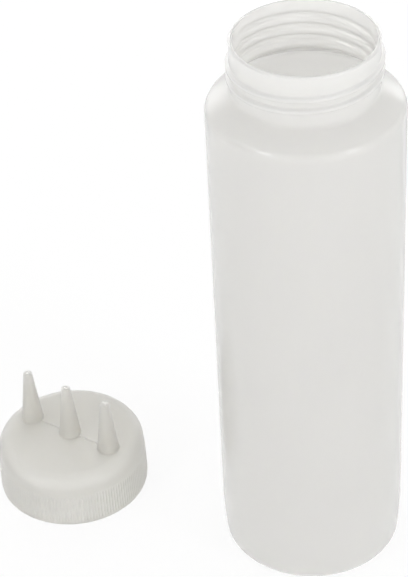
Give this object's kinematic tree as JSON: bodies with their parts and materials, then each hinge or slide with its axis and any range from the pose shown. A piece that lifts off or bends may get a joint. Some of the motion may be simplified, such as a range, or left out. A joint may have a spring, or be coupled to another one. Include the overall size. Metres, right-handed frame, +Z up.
{
  "type": "three-nozzle squeeze bottle",
  "caption": "Tall round translucent squeeze bottle with a wide threaded neck, and its screw lid with a row of conical pouring nozzles lying beside it.",
  "frame": {"origin": "centre of the bottle's flat foot, on the surface it stands on", "axes": "+Z up along the bottle's axis, out of its mouth; -X towards the lid that lies beside it; +Y away from the side the bottle is seen from"},
  "size_m": [0.1791, 0.1096, 0.249],
  "materials": {
    "bottle_plastic": "natural milky low-density polyethylene, softly translucent, satin",
    "lid_plastic": "natural milky low-density polyethylene, a little thicker and greyer than the bottle, satin"
  },
  "bodies": {
    "root": {"bottle": "bottle_plastic", "lid": "lid_plastic"}
  },
  "joints": []
}
